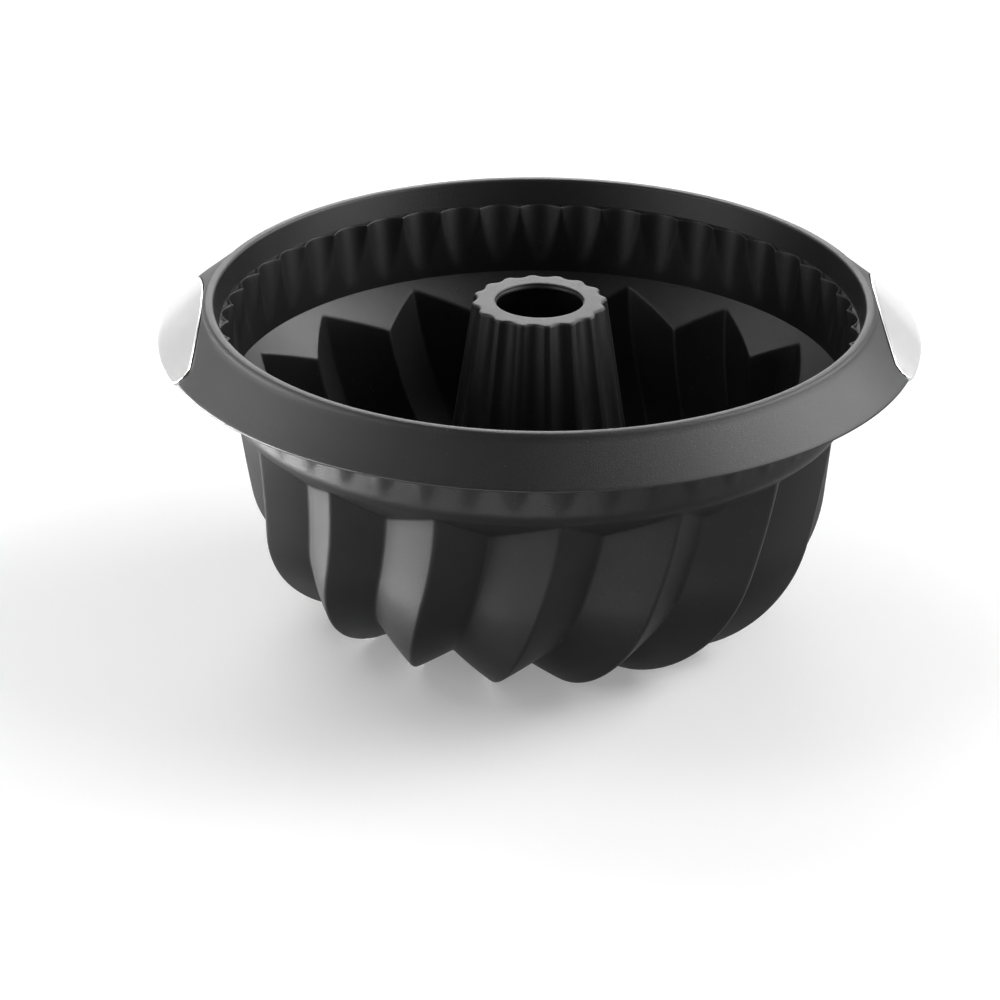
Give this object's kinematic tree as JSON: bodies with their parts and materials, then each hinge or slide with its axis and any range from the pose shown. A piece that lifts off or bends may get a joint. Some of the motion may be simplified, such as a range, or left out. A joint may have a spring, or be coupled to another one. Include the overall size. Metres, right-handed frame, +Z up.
{
  "type": "bundt mould",
  "caption": "Ring-shaped silicone cake mould with a swirled, ridged cup, a fluted collar, a sloping rim with steel grip plates at its sides, and a fluted centre tube with a vent hole.",
  "frame": {"origin": "on the floor under the axis of the centre tube", "axes": "+Z up along the tube's axis, +X through the middle of the right grip plate, +Y to the back"},
  "size_m": [0.2584, 0.2568, 0.1134],
  "materials": {
    "black_silicone": "matte moulded silicone with a soft sheen",
    "ring_steel": "drawn wire",
    "satin_steel": "fine satin"
  },
  "bodies": {
    "root": {"mould_body": "black_silicone", "rim_steel_ring": "ring_steel", "left_grip_plate": "satin_steel", "right_grip_plate": "satin_steel"}
  },
  "joints": []
}
